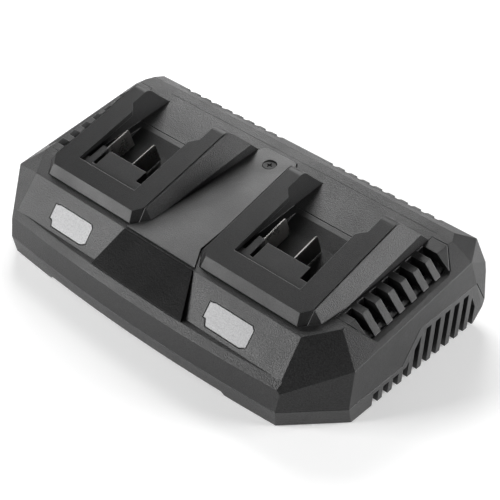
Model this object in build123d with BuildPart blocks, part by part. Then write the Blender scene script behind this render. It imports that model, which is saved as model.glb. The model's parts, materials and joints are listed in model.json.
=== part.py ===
from build123d import *
import os
from math import cos, radians, sin, tan

# Two-bay slide-pack battery charger. Millimetres, +Z up, front face towards -Y.
# Origin: between the two bays, on the surface that the feet stand on.

# ---- driving dimensions: casing outline --------------------------------------
body_width = 240.6
body_depth = 138.1
front_reach = 68.05  # from the origin forward to the front edge
envelope_size = 400.0  # block from which the outer faces are cut
front_bow = 4.3  # how far the front edge bows forward at its middle
bow_half_width = 96.6  # half width of the bowed front edge
front_corner_length = 25.3  # depth of the front corner facets at the parting line
nose_top_half_width = 95.6  # corner facets: top of the nose
nose_top_setback = 7.3
nose_top_height = 23.85
panel_corner_half_width = 94.4  # corner facets: top of the slanted panel
deck_corner_half_width = 105.8  # corner facets: highest corner, on the deck
deck_corner_setback = 39.8
back_facet_half_width = 109.6  # back facets: corner by the end vent, on the deck
back_facet_inset = 21.3  # insets are measured forward from the back wall
back_top_half_width = 112.1  # back facets: corner at the top of the back wall
back_chamfer_half_width = 117.4  # upper back chamfer: a point on the back wall
back_chamfer_inset = 1.5
back_chamfer_height = 35.0
back_foot_half_width = 118.4  # lower back chamfer: a point on the back wall
back_foot_height = 21.9

# ---- driving dimensions: casing heights --------------------------------------
foot_protrusion = 0.6
parting_height = 11.0  # parting line at the front
side_parting_height = 27.4  # parting line of the raised vent section
nose_edge_height = 23.1
nose_draft = 11.0  # degrees
nose_overlap = 20.0  # the nose joins the rest of the casing within this of the origin
ledge_height = 26.5
deck_front_height = 43.8
crest_height = 54.7
back_edge_height = 47.5
back_draft_height = 28.2  # the back wall leans forward above this
end_crease_front_height = 33.0
end_crease_back_height = 45.6
end_bevel_angle = 38.4  # degrees from horizontal

# ---- driving dimensions: casing stations, back from the front edge -----------
panel_foot_setback = 9.5
panel_top_setback = 23.8
bay_setback = 30.6
crest_inset = 15.2
back_top_inset = 3.2
end_crease_front_setback = 32.3
end_crease_back_inset = 18.4
side_step_foot_setback = 69.4
side_step_top_setback = 81.4
side_step_back_inset = 11.0
side_step_foot_inset = 1.0
side_step_depth = 14.0  # from the end wall inwards
clear_height = 90.0  # above everything
cut_margin = 1.0  # how far a cut runs past the face that it opens
pocket_floor = 30.0  # below the deck, above the parts inside

# ---- driving dimensions: walls and clearances --------------------------------
cover_wall = 2.2
base_wall = 2.4
base_floor = 2.5
base_draft = 9.0  # degrees
base_end_draft = 0.5
base_heel_inset = 9.6  # the base's back edge is cut away from here
base_heel_angle = 46.0
seam_gap = 0.4  # between outer pieces that meet at a visible seam
seat_gap = 0.1  # between a piece and what carries it
shaft_gap = 0.05  # radial, rotor shaft in its bearing

# ---- driving dimensions: battery bays ----------------------------------------
bay_pitch = 114.0
dock_front_height = 50.0
dock_slope = 0.278
dock_half_width = 34.8
dock_front_half_width = 30.5
dock_corner_length = 5.3
dock_front_angle = 62.0
dock_back_station = 65.9  # where the rails turn down at the back
dock_back_angle = 45.0
dock_back_radius = 6.0
shoulder_spread = 0.72  # shoulder width gained per unit of depth
rail_half_gap = 21.5  # from bay middle to the rail lip
groove_half_gap = 25.9
lip_thickness = 3.2
recess_station = 10.3
recess_depth = 2.2
groove_station = 12.0
lip_end_station = 53.8
lip_lead_in = 4.4
well_depth = 15.4
well_floor_end_station = 46.0
ledge_station = 55.5  # where the well's floor meets the deck's plane
bed_station = 59.2  # from here back the deck itself lies between the rails
bed_back_station = 84.0
dock_foot_drop = 10.0  # depth over which the slanted faces of a bay are defined
dock_foot_sink = 0.6
dock_nose_spread = 1.3  # how much wider the front block is at its foot
dock_corner_spread = 1.7
dock_side_run = 3.4  # plan length of the front corner at the foot
dock_back_run = 30.0
dock_tail = 14.6  # from the rails' turn to their ends
dock_skirt = 4.6  # underside below the deck surface
dock_cut_floor = 20.0  # below every dock
flange_depth = 2.3  # top of a flange below the surface it holds
flange_thickness = 2.0
flange_reach = 1.4
flange_end_station = 72.0
tub_half_width = 24.5
tub_front_station = 8.0
tub_back_station = 49.0
tub_depth = 17.9
lip_clear_height = 59.5
arm_wall = 1.8
arm_skin = 4.0
arm_hollow_start = 14.0
arm_hollow_end = 60.0

# ---- driving dimensions: contacts --------------------------------------------
blade_thickness = 0.65
blade_left_offset = -15.2
blade_right_offset = 5.3
blade_top_depth = 2.3  # below the dock surface
blade_bottom_depth = 14.8
blade_tip_depth = 3.1
blade_root_station = 18.0
blade_neck_depth = 6.5  # top of the root, inside the terminal block
blade_neck_gap = 0.3  # behind the terminal block
blade_tip_station = 40.5
blade_tip_run = 0.9
blade_foot_station = 43.8
block_back_station = 24.0
block_left_edge = -11.9
block_right_edge = 15.8
tongue_left_edge = -18.6
tongue_right_edge = -14.4
tongue_station = 24.9
slot_station = 13.5
left_shelf_station = 15.3
right_shelf_station = 16.6

# ---- driving dimensions: windows, plate and centre cover ---------------------
window_left_edge = -15.6
window_right_edge = 13.4
window_low_setback = 11.1
window_high_setback = 18.9
window_corner = 3.4
window_notch = 0.6
window_thickness = 3.0
window_flange_reach = 1.0
window_flange_depth = 2.3  # below the panel surface
window_flange_thickness = 1.0
window_cut = 8.0
plate_foot_half_width = 32.7
plate_top_half_width = 24.5
plate_foot_setback = 6.3
plate_top_setback = 23.2
plate_foot_height = 26.7
plate_top_height = 44.0
plate_lift = 0.15
centre_front_half_width = 24.3
centre_waist_half_width = 17.2
centre_back_half_width = 13.4
centre_tip_half_width = 10.3
centre_front_setback = 25.0
centre_waist_setback = 36.2
centre_shoulder_inset = 28.0
centre_back_inset = 23.9
centre_front_height = 44.9
centre_back_height = 54.6
centre_thickness = 2.2
centre_boss_radius = 5.0
bridge_drop = 4.2  # bridge top below the centre cover's top
bridge_thickness = 3.0
bridge_half_length = 19.8
bridge_inner_half = 17.3
centre_ledge = 1.5  # ledge under the rim of the centre cover
bridge_width = 10.0
bridge_front_setback = 45.0
cover_screw_inset = 33.5
cover_screw_head_radius = 3.6
cover_screw_head_height = 1.6
cover_screw_recess_radius = 3.9
cover_screw_recess_depth = 1.9
cover_screw_shank_radius = 1.5
cover_screw_length = 8.0

# ---- driving dimensions: vents -----------------------------------------------
rib_pitch = 8.9
rib_width = 4.1
louvre_inner_margin = 0.8  # strip left along the inner edge
louvre_slot_setback = 48.1
first_end_rib_setback = 52.7
rib_face_angle = 46.0  # degrees from horizontal, a little steeper than the end bevel
louvre_wall = 4.5
louvre_front_setback = 43.7
louvre_foot_setback = 51.3
louvre_back_foot_inset = 33.6
louvre_back_inset = 24.3
louvre_sill = 2.2  # lower edge above the end crease
louvre_inner_gap = 6.9  # from a bay's side to the inner edge of the vent
louvre_inner_spread = 1.2
louvre_heel_run = 4.4
louvre_heel_rise = 4.4
louvre_tail_run = 2.2
louvre_tail_rise = 1.2
louvre_flange_depth = 3.2
louvre_flange_reach = 1.2
louvre_flange_inner = 0.8
louvre_flange_thickness = 1.3
back_rib_pitch = 8.45
back_rib_count = 9
back_vent_start = 14.0  # from the middle to the inner end of each back vent
back_vent_inset = 8.1
back_vent_margin = 1.6
back_vent_wall = 2.6
back_vent_sill = 34.0
base_slot_pitch = 7.6
base_slot_width = 4.2
base_slot_lean = 3.5  # degrees
first_slot_setback = 49.9
slot_margin = 3.2  # slot top below the parting line
slot_reach = 4.0  # into the base, from the end wall
slot_pivot_height = 12.0
last_slot_inset = 15.6
slot_heel_inset = 9.4
slot_heel_height = 11.0
skirt_half = 62.6
skirt_rise = 1.8
skirt_depth = 6.0

# ---- driving dimensions: inside ----------------------------------------------
board_length = 150.0
board_width = 84.0
board_thickness = 1.6
board_height = 8.0
post_inset = 6.0
transformer_x = 0.0
transformer_y = 6.0
core_length = 34.0
core_width = 18.0
core_height = 26.0
core_leg = 5.0
core_window = 7.0
core_window_offset = 9.0
winding_gap = 0.4
winding_bulge = 9.0
winding_corner = 3.0
capacitor_x = -46.0
capacitor_y = 8.0
capacitor_radius = 9.0
capacitor_height = 22.0
capacitor_edge = 0.8
sink_x = 46.0
sink_y = -4.0
sink_length = 40.0
sink_thickness = 2.0
sink_height = 22.0
sink_fin_count = 5
sink_fin_pitch = 8.0
sink_fin_length = 12.0
transistor_offset = 10.0
transistor_width = 10.0
transistor_thickness = 4.4
transistor_height = 14.0
transistor_lift = 3.0
transistor_leg = 3.0
fuse_x = -46.0
fuse_y = 28.0
fuse_length = 20.0
fuse_radius = 2.6
choke_x = 40.0
choke_y = 26.0
choke_ring_radius = 7.0
choke_radius = 4.0
post_radius = 3.2
post_hole_radius = 1.3
pillar_radius = 4.8
screw_clear_radius = 1.6
screw_sink_radius = 3.3
screw_sink_depth = 4.0
cradle_wall = 1.6
cradle_width = 8.0
cradle_height = 11.0
floor_root = 1.0  # depth to which posts are sunk into the base's floor
led_board_depth = 6.0
led_board_length = 27.0
led_board_width = 8.0
led_board_thickness = 1.0
led_post_offset = 11.5
led_post_radius = 1.2
led_count = 3
led_pitch = 7.0
led_radius = 1.5
led_height = 1.6
boss_radius = 3.6
boss_hole_radius = 1.3
boss_hole_depth = 14.0
boss_rise = 1.0  # boss foot above the parting line
screw_head_radius = 3.0
screw_head_height = 2.0
case_screw_length = 16.0
board_screw_length = 6.0
case_screw_gap = 12.2  # from a bay's side
case_screw_front_setback = 39.0
case_screw_back_inset = 16.1
fan_size = 35.0
fan_depth = 10.0
fan_inset = 19.3  # from the end wall to the fan's middle
fan_setback = 72.6
fan_bore_radius = 16.2
rotor_hub_radius = 7.5
rotor_blade_radius = 15.6
rotor_blade_count = 7
rotor_shaft_radius = 1.5
fan_wall = 1.2
fan_corner = 3.0
fan_strut_count = 4
fan_strut_width = 2.4
fan_sleeve_radius = 3.0
fan_sleeve_length = 5.0
rotor_length = 7.6
rotor_end_gap = 0.5
vane_root = 1.0
vane_pitch = 35.0
vane_chord = 9.0
vane_thickness = 0.9
foot_radius = 6.0
foot_depth = 1.6
foot_edge = 0.3
foot_inset = 28.3  # from the end wall
foot_front_setback = 26.0
foot_back_inset = 20.1
keyhole_pitch = 160.0
keyhole_head_radius = 4.5
keyhole_neck_radius = 2.25
keyhole_travel = 8.0
keyhole_setback = 92.0
gland_radius = 7.0
gland_bore_radius = 3.4
gland_length = 14.0
gland_x = -70.0
gland_height = 19.5
gland_flange_radius = 8.4
gland_flange_thickness = 2.0

# ---- derived stations --------------------------------------------------------
half_width = body_width / 2
front_y = -front_reach
back_y = front_y + body_depth
bow_radius = (bow_half_width**2 + front_bow**2) / (2 * front_bow)
bay_y = front_y + bay_setback
board_y = (front_y + back_y) / 2
panel_foot_y = front_y + panel_foot_setback
panel_top_y = front_y + panel_top_setback
crest_y = back_y - crest_inset
back_top_y = back_y - back_top_inset
deck_slope = (crest_height - deck_front_height) / (crest_y - panel_top_y)
end_crease_front_y = front_y + end_crease_front_setback
end_crease_back_y = back_y - end_crease_back_inset
end_crease_rise = end_crease_back_height - end_crease_front_height
end_crease_slope = end_crease_rise / (end_crease_back_y - end_crease_front_y)
bay_centres = {"left": -bay_pitch / 2, "right": bay_pitch / 2}
sides = {"left": -1, "right": 1}
upright = (Align.CENTER, Align.CENTER, Align.MIN)
hanging = (Align.CENTER, Align.CENTER, Align.MAX)
backwards = (Align.CENTER, Align.MIN, Align.MIN)


def deck_z(y):
    """Height of the deck's front slope at y."""
    return deck_front_height + deck_slope * (y - panel_top_y)


def dock_z(station):
    """Height of a dock's top surface, by distance behind the dock's front edge."""
    return dock_front_height + dock_slope * station


def end_crease_z(y):
    """Height of the crease between the end wall and its bevel at y."""
    return end_crease_front_height + end_crease_slope * (y - end_crease_front_y)


def plane_through(first, second, third, inside):
    """Plane through three points whose normal points away from an inside point."""
    a, b, c = Vector(first), Vector(second), Vector(third)
    normal = (b - a).cross(c - a).normalized()
    if normal.dot(Vector(inside) - a) > 0:
        normal = normal * -1
    return Plane(origin=a, z_dir=normal)


def export(part, name):
    part.label = name
    export_step(part, f"parts/{name}.step")


os.makedirs("parts", exist_ok=True)

# ---- the casing's outer faces ------------------------------------------------
core = (0, 0, 20)  # a point well inside the casing
end_front_y = front_y + front_bow + front_corner_length
end_crease_start = (half_width, end_crease_front_y, end_crease_front_height)
end_crease_end = (half_width, end_crease_back_y, end_crease_back_height)
back_corner_top = (back_top_half_width, back_top_y, back_edge_height)
side_step_end = (half_width, back_y - side_step_back_inset, side_parting_height)
bevel_reach = 10.0
bevel_high_point = (
    half_width - bevel_reach,
    end_crease_start[1],
    end_crease_front_height + bevel_reach * tan(radians(end_bevel_angle)),
)


def mirrored(point, side):
    return (side * point[0], point[1], point[2])


def corner_planes(side):
    """The slanted faces at one end of the casing."""
    nose_corner = (bow_half_width, front_y + front_bow, parting_height)
    end_corner = (half_width, end_front_y, parting_height)
    nose_top = (nose_top_half_width, front_y + nose_top_setback, nose_top_height)
    panel_corner = (panel_corner_half_width, panel_top_y, deck_front_height)
    deck_corner_y = front_y + deck_corner_setback
    deck_corner = (deck_corner_half_width, deck_corner_y, deck_z(deck_corner_y))
    lower_facet = (nose_corner, end_corner, end_crease_start)
    upper_facet = (nose_top, panel_corner, end_crease_start)
    deck_facet = (panel_corner, deck_corner, end_crease_start)
    end_bevel = (end_crease_start, end_crease_end, bevel_high_point)
    chamfer_point = (back_chamfer_half_width, back_y - back_chamfer_inset, back_chamfer_height)
    upper_chamfer = (end_crease_end, back_corner_top, chamfer_point)
    lower_chamfer = (end_crease_end, side_step_end, (back_foot_half_width, back_y, back_foot_height))
    facet_y = back_y - back_facet_inset
    back_facet = ((back_facet_half_width, facet_y, deck_z(facet_y)), back_corner_top, end_crease_end)
    faces = (lower_facet, upper_facet, deck_facet, end_bevel, lower_chamfer, upper_chamfer, back_facet)
    return [plane_through(*[mirrored(p, side) for p in face], core) for face in faces]


profile_points = [
    (panel_foot_y, ledge_height),
    (panel_top_y, deck_front_height),
    (crest_y, crest_height),
    (back_top_y, back_edge_height),
    (back_y, back_draft_height),
]
profile_planes = [
    plane_through((0, *start), (0, *end), (1, *start), core)
    for start, end in zip(profile_points, profile_points[1:])
]
foot_plane = Plane(origin=(0, panel_foot_y, 0), z_dir=(0, -1, 0))
wall_planes = [
    Plane(origin=(0, back_y, 0), z_dir=(0, 1, 0)),
    Plane(origin=(half_width, 0, 0), z_dir=(1, 0, 0)),
    Plane(origin=(-half_width, 0, 0), z_dir=(-1, 0, 0)),
]
end_planes = corner_planes(1) + corner_planes(-1)


def body_envelope(inset, floor_z):
    """Casing above floor_z, without the nose, with every face moved inwards by inset."""
    with BuildPart() as envelope:
        with Locations((0, 0, floor_z)):
            Box(envelope_size, envelope_size, envelope_size, align=upright)
        for face in [foot_plane] + profile_planes + wall_planes + end_planes:
            split(bisect_by=face.offset(-inset), keep=Keep.BOTTOM)
    return envelope.part


def nose_layer(z, height, setback, taper, inset):
    """One layer of the bowed nose, from z up."""
    reach = half_width + front_bow
    radius = bow_radius - setback - inset
    y_middle = front_y + setback + inset
    y_side = y_middle + radius - (radius**2 - reach**2) ** 0.5
    with BuildPart() as layer:
        with BuildSketch(Plane.XY.offset(z)):
            with BuildLine():
                ThreePointArc((-reach, y_side), (0, y_middle), (reach, y_side))
                Polyline((reach, y_side), (reach, nose_overlap), (-reach, nose_overlap), (-reach, y_side))
            make_face()
        extrude(amount=height, taper=taper)
    return layer.part


nose_setback = (nose_edge_height - parting_height) * tan(radians(nose_draft))
nose_bevel = 45  # degrees, from the nose's edge up to the ledge


def nose_envelope(inset):
    """The bowed nose between the parting line and the ledge, moved inwards by inset."""
    top = ledge_height - inset
    with BuildPart() as nose:
        add(nose_layer(parting_height, nose_edge_height - parting_height, 0, nose_draft, inset))
        add(nose_layer(nose_edge_height, top - nose_edge_height, nose_setback, nose_bevel, inset))
        for face in wall_planes + end_planes:
            split(bisect_by=face.offset(-inset), keep=Keep.BOTTOM)
        split(bisect_by=Plane.XZ.offset(nose_overlap), keep=Keep.TOP)
    return nose.part


def bay_plane(bay_x, first, second, third):
    """A face of a bay block, given by points in (across, station, height)."""
    points = [(bay_x + u, bay_y + v, z) for u, v, z in (first, second, third)]
    return plane_through(*points, (bay_x, bay_y + bed_station / 2, deck_front_height))


dock_front_run = dock_foot_drop / tan(radians(dock_front_angle))


def bay_envelope(bay_x, bottom):
    """The raised block round one bay: sloping top, slanted front, sides and back."""
    top_a = (0, 0, dock_z(0))
    top_b = (0, dock_back_station, dock_z(dock_back_station))
    top_c = (1, 0, dock_z(0))
    front_foot = (0, -dock_front_run, dock_z(0) - dock_foot_drop)
    front = (top_a, front_foot, top_c)
    back_drop = dock_back_run * tan(radians(dock_back_angle))
    back = (top_b, (0, dock_back_station + dock_back_run, top_b[2] - back_drop), (1, *top_b[1:]))
    with BuildPart() as block:
        with Locations((bay_x, bay_y, bottom)):
            Box(4 * dock_half_width, body_depth, clear_height, align=upright)
            Box(4 * dock_half_width, body_depth, clear_height, align=backwards)
        faces = [(top_a, top_b, top_c), front, back]
        for side in (-1, 1):
            edge_a = (side * dock_half_width, 0, dock_z(0))
            edge_b = (side * dock_half_width, dock_back_station, dock_z(dock_back_station))
            foot_half = dock_half_width + dock_foot_drop * shoulder_spread
            foot = (side * foot_half, 0, dock_z(0) - dock_foot_drop)
            front_edge = (side * dock_front_half_width, 0, dock_z(0))
            corner_edge = (side * dock_half_width, dock_corner_length, dock_z(dock_corner_length))
            nose_foot = side * (dock_front_half_width + dock_corner_spread)
            corner_foot = (nose_foot, -dock_front_run, dock_z(0) - dock_foot_drop)
            faces += [(edge_a, edge_b, foot), (front_edge, corner_edge, corner_foot)]
        for face in faces:
            split(bisect_by=bay_plane(bay_x, *face), keep=Keep.BOTTOM)
        back_top_edges = block.edges().filter_by(Axis.X).group_by(Axis.Z)[-1]
        fillet(back_top_edges, dock_back_radius)
    return block.part


def station_profile(bay_x, points, half):
    """Solid with a side profile in (station, height), centred on a bay."""
    with BuildPart() as solid:
        with BuildSketch(Plane.YZ.offset(bay_x)):
            with BuildLine():
                Polyline([(bay_y + v, z) for v, z in points], close=True)
            make_face()
        extrude(amount=half, both=True)
    return solid.part


def plan_prism(points, bottom, top):
    """Upright solid with a plan outline."""
    with BuildPart() as solid:
        with BuildSketch(Plane.XY.offset(bottom)):
            with BuildLine():
                Polyline(points, close=True)
            make_face()
        extrude(amount=top - bottom)
    return solid.part


def lies_in(bay_x, points):
    """Plan points given as (across, station) from a bay."""
    return [(bay_x + u, bay_y + v) for u, v in points]


# ---- upper cover -------------------------------------------------------------
dock_front_rise = dock_front_height - deck_front_height - dock_foot_sink
dock_foot_station = -dock_front_rise / tan(radians(dock_front_angle))
dock_end_station = dock_back_station + dock_tail
dock_nose_half = dock_front_half_width + dock_nose_spread
dock_side_start = dock_foot_station + dock_side_run


def pocket_points(grow):
    """U-shaped plan of a dock: front block and two rails, grown outwards by grow."""
    side = dock_half_width - seam_gap + grow
    front = dock_foot_station - grow
    back = dock_end_station + grow
    inner = groove_half_gap - grow
    crossbar = bed_station - seam_gap + grow
    right = [(dock_nose_half, front), (side, dock_side_start), (side, back), (inner, back), (inner, crossbar)]
    left = [(-u, v) for u, v in reversed(right)]
    return right + left


centre_front_y = front_y + centre_front_setback
centre_back_y = back_y - centre_back_inset
centre_points = [
    (centre_front_half_width, centre_front_y),
    (centre_waist_half_width, front_y + centre_waist_setback),
    (centre_back_half_width, back_y - centre_shoulder_inset),
    (centre_tip_half_width, centre_back_y),
]


def centre_outline(grow):
    right = [(x + grow, y) for x, y in centre_points]
    right[0] = (right[0][0], right[0][1] - grow)
    right[-1] = (right[-1][0], right[-1][1] + grow)
    return right + [(-x, y) for x, y in reversed(right)]


louvre_back_y = back_y - louvre_back_inset
louvre_inner_front = bay_pitch / 2 + dock_half_width + louvre_inner_gap
end_rib_room = louvre_back_y - front_y - first_end_rib_setback - rib_width
end_rib_count = int(end_rib_room / rib_pitch)


def louvre_profile(grow):
    """Side outline of an end vent in (y, z)."""
    top_y = front_y + louvre_front_setback
    foot_y = front_y + louvre_foot_setback
    back_foot_y = back_y - louvre_back_foot_inset
    foot_z = end_crease_z(foot_y) + louvre_sill - grow
    back_foot_z = end_crease_z(back_foot_y) + louvre_sill - grow
    return [
        (foot_y - grow, foot_z),
        (back_foot_y, back_foot_z),
        (back_foot_y + louvre_tail_run + grow, back_foot_z + louvre_tail_rise),
        (louvre_back_y + grow, deck_z(louvre_back_y)),
        (louvre_back_y + grow, clear_height),
        (top_y - grow, clear_height),
        (top_y - grow, deck_z(top_y)),
        (foot_y - louvre_heel_run - grow, foot_z + louvre_heel_rise),
    ]


def louvre_prism(side, grow):
    """The space of an end vent, from its inner edge outwards."""
    front = (side * (louvre_inner_front - grow), front_y + louvre_front_setback, 0)
    back = (side * (louvre_inner_front + louvre_inner_spread - grow), louvre_back_y, 0)
    above = (front[0], front[1], clear_height)
    outwards = (side * body_width, 0, 0)
    with BuildPart() as prism:
        with BuildSketch(Plane.YZ):
            with BuildLine():
                Polyline(louvre_profile(grow), close=True)
            make_face()
        extrude(amount=side * body_width)
        split(bisect_by=plane_through(front, back, above, outwards), keep=Keep.BOTTOM)
    return prism.part


def end_slots(side):
    """The openings between the ribs of an end vent."""
    starts = [louvre_slot_setback]
    widths = [first_end_rib_setback - louvre_slot_setback]
    for index in range(end_rib_count):
        starts.append(first_end_rib_setback + index * rib_pitch + rib_width)
        widths.append(rib_pitch - rib_width)
    with BuildPart() as slots:
        for start, width in zip(starts, widths):
            with Locations((0, front_y + start, 0)):
                Box(2 * body_width, width, 2 * clear_height, align=(Align.CENTER, Align.MIN, Align.CENTER))
        add(louvre_prism(side, 0), mode=Mode.INTERSECT)
        inner = louvre_inner_front + louvre_inner_spread / 2 + louvre_inner_margin
        split(bisect_by=Plane.YZ.offset(side * inner), keep=Keep.TOP if side > 0 else Keep.BOTTOM)
    return slots.part


def deck_edge(side, y):
    """Where the deck meets the end bevel."""
    drop = deck_z(y) - end_crease_z(y)
    return side * (body_width / 2 - drop / tan(radians(end_bevel_angle))), y, deck_z(y)


def rib_relief(side):
    """The space over the slanted faces of an end vent's ribs."""
    front_edge = deck_edge(side, front_y + louvre_slot_setback)
    back_edge = deck_edge(side, louvre_back_y)
    lower = (front_edge[0] + side, front_edge[1], front_edge[2] - tan(radians(rib_face_angle)))
    outside = (side * body_width, 0, clear_height)
    length = first_end_rib_setback - louvre_slot_setback + end_rib_count * rib_pitch
    with BuildPart() as relief:
        with Locations((0, front_y + louvre_slot_setback, 0)):
            Box(2 * body_width, length, 2 * clear_height, align=(Align.CENTER, Align.MIN, Align.CENTER))
        split(bisect_by=plane_through(front_edge, back_edge, lower, outside), keep=Keep.BOTTOM)
    return relief.part


def back_vent_box(side, grow):
    """The space of a back vent."""
    length = back_rib_count * back_rib_pitch + rib_width
    inner_end = side * (back_vent_start - grow)
    away = Align.MIN if side > 0 else Align.MAX
    with BuildPart() as space:
        with Locations((inner_end, back_y - back_vent_inset - grow, back_vent_sill - grow)):
            Box(length + 2 * grow, body_depth, clear_height, align=(away, Align.MIN, Align.MIN))
    return space.part


def back_slots(side):
    """The openings between the ribs of a back vent."""
    away = Align.MIN if side > 0 else Align.MAX
    with BuildPart() as slots:
        for index in range(back_rib_count):
            x = side * (back_vent_start + rib_width + index * back_rib_pitch)
            with Locations((x, 0, 0)):
                Box(back_rib_pitch - rib_width, body_depth, clear_height, align=(away, Align.MIN, Align.MIN))
        add(back_vent_box(side, -back_vent_margin), mode=Mode.INTERSECT)
    return slots.part


def window_outline(grow):
    """Status window outline on the slanted panel, in (across, distance up the panel)."""
    left, right = window_left_edge - grow, window_right_edge + grow
    low = -grow
    high = (window_high_setback - window_low_setback) * panel_length / panel_run + grow
    c = window_corner
    return [
        (left + c, low), (right - c, low), (right, low + c / 2), (right, high - c / 2),
        (right - c / 2, high), (left + c, high), (left + c / 2, high - window_notch),
        (left, high - window_notch), (left, low + c), (left + c / 2, low + c),
    ]


panel_rise = deck_front_height - ledge_height
panel_run = panel_top_y - panel_foot_y
panel_length = (panel_rise**2 + panel_run**2) ** 0.5


def panel_plane(bay_x):
    """Plane of the slanted panel under a bay: x across, y up the slope, origin at the window's foot."""
    y = front_y + window_low_setback
    z = ledge_height + (y - panel_foot_y) * panel_rise / panel_run
    normal = (0, -panel_rise, panel_run)
    return Plane(origin=(bay_x, y, z), x_dir=(1, 0, 0), z_dir=normal)


def window_solid(bay_x, grow, depth, lift):
    with BuildPart() as window:
        with BuildSketch(panel_plane(bay_x).offset(lift)):
            with BuildLine():
                Polyline(window_outline(grow), close=True)
            make_face()
        extrude(amount=-depth)
    return window.part


def side_step(gap):
    """Side profile above the raised part of the parting line, moved by gap."""
    foot = parting_height - cover_wall
    return [
        (front_y + side_step_foot_setback - gap, foot),
        (front_y + side_step_foot_setback - gap, parting_height + gap),
        (front_y + side_step_top_setback - gap, side_parting_height + gap),
        (back_y - side_step_back_inset + gap, side_parting_height + gap),
        (back_y - side_step_foot_inset + gap, parting_height + gap),
        (back_y - side_step_foot_inset + gap, foot),
    ]


def side_prism(side, gap):
    """The space of the raised part of the base at one end."""
    with BuildPart() as prism:
        with BuildSketch(Plane.YZ.offset(side * (half_width - side_step_depth))):
            with BuildLine():
                Polyline(side_step(gap), close=True)
            make_face()
        extrude(amount=side * 2 * side_step_depth)
    return prism.part


body_outer = body_envelope(0, parting_height)
body_inner = body_envelope(cover_wall, parting_height - cut_margin)
deck_line = ((0, panel_top_y, deck_front_height), (0, crest_y, crest_height), (1, crest_y, crest_height))


def deck_plane(depth):
    """Plane parallel to the deck's front slope, below it by depth."""
    return plane_through(*deck_line, core).offset(-depth)


bed_ends = (bed_station, bed_back_station)
above_bed = [(v, deck_z(bay_y + v)) for v in bed_ends] + [(v, clear_height) for v in reversed(bed_ends)]
bed_half = groove_half_gap - seam_gap

screw_rows = (front_y + case_screw_front_setback, back_y - case_screw_back_inset)
case_screw_x = bay_pitch / 2 + dock_half_width + case_screw_gap
cover_screw_y = back_y - cover_screw_inset
bridge_rows = (front_y + bridge_front_setback, cover_screw_y)
centre_slope = (centre_back_height - centre_front_height) / (centre_back_y - centre_front_y)


def centre_z(y):
    """Height of the centre cover's top surface at y."""
    return centre_front_height + centre_slope * (y - centre_front_y)


centre_line = [
    (0, centre_front_y, centre_front_height),
    (0, centre_back_y, centre_back_height),
    (1, centre_back_y, centre_back_height),
]
centre_underside = plane_through(*centre_line, core).offset(-centre_thickness - seat_gap)
boss_foot = parting_height + boss_rise

with BuildPart() as centre_seat:
    add(plan_prism(centre_outline(seam_gap), pocket_floor, clear_height))
    split(bisect_by=centre_underside, keep=Keep.TOP)

with BuildPart() as bosses:
    for side in sides.values():
        for y in screw_rows:
            with Locations((side * case_screw_x, y, boss_foot)):
                Cylinder(boss_radius, clear_height, align=upright)
    for y in bridge_rows:
        top = centre_z(y) - bridge_drop
        with Locations((0, y, top - bridge_thickness)):
            Box(2 * bridge_half_length, bridge_width, clear_height, align=upright)
        with Locations((0, y, top)):
            Box(2 * bridge_inner_half, bridge_width, clear_height, align=upright, mode=Mode.SUBTRACT)
    add(body_envelope(cover_wall / 2, parting_height), mode=Mode.INTERSECT)

with BuildPart() as upper_cover:
    add(body_outer)
    add(nose_envelope(0))
    add(body_inner, mode=Mode.SUBTRACT)
    add(nose_envelope(cover_wall), mode=Mode.SUBTRACT)
    for bay_x in bay_centres.values():
        add(split(bay_envelope(bay_x, pocket_floor), bisect_by=deck_plane(cover_wall), keep=Keep.TOP,
                  mode=Mode.PRIVATE))
        add(station_profile(bay_x, above_bed, bed_half), mode=Mode.SUBTRACT)
        pocket = lies_in(bay_x, pocket_points(seam_gap))
        add(plan_prism(pocket, pocket_floor, clear_height), mode=Mode.SUBTRACT)
        add(window_solid(bay_x, seam_gap, window_cut, window_cut / 2), mode=Mode.SUBTRACT)
    add(centre_seat.part, mode=Mode.SUBTRACT)
    add(plan_prism(centre_outline(-centre_ledge), pocket_floor, clear_height), mode=Mode.SUBTRACT)
    add(bosses.part)
    for side in sides.values():
        add(louvre_prism(side, seam_gap), mode=Mode.SUBTRACT)
        add(back_vent_box(side, seam_gap), mode=Mode.SUBTRACT)
        add(side_prism(side, seam_gap), mode=Mode.SUBTRACT)
        for y in screw_rows:
            with Locations((side * case_screw_x, y, boss_foot)):
                Cylinder(boss_hole_radius, boss_hole_depth, align=upright, mode=Mode.SUBTRACT)
    with Locations((0, cover_screw_y, centre_z(cover_screw_y))):
        Cylinder(cover_screw_shank_radius, 2 * cover_screw_length, mode=Mode.SUBTRACT)
    with Locations(Plane(origin=(gland_x, back_y, gland_height), z_dir=(0, 1, 0))):
        Cylinder(gland_radius + seat_gap, gland_length, mode=Mode.SUBTRACT)
export(upper_cover.part, "upper_cover")


# ---- base tray ---------------------------------------------------------------
base_bottom = foot_protrusion
floor_top = base_bottom + base_floor
base_rim = parting_height - seam_gap
base_draft_run = (parting_height - base_bottom) * tan(radians(base_draft))


def drafted(point, across, inset, draft):
    """Base wall face: through a point on the parting line, leaning inwards towards the floor."""
    lean = radians(draft)
    direction = Vector(*across, 0).normalized()
    normal = direction * cos(lean) - Vector(0, 0, sin(lean))
    return Plane(origin=(*point, parting_height), z_dir=normal).offset(-inset)


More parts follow.
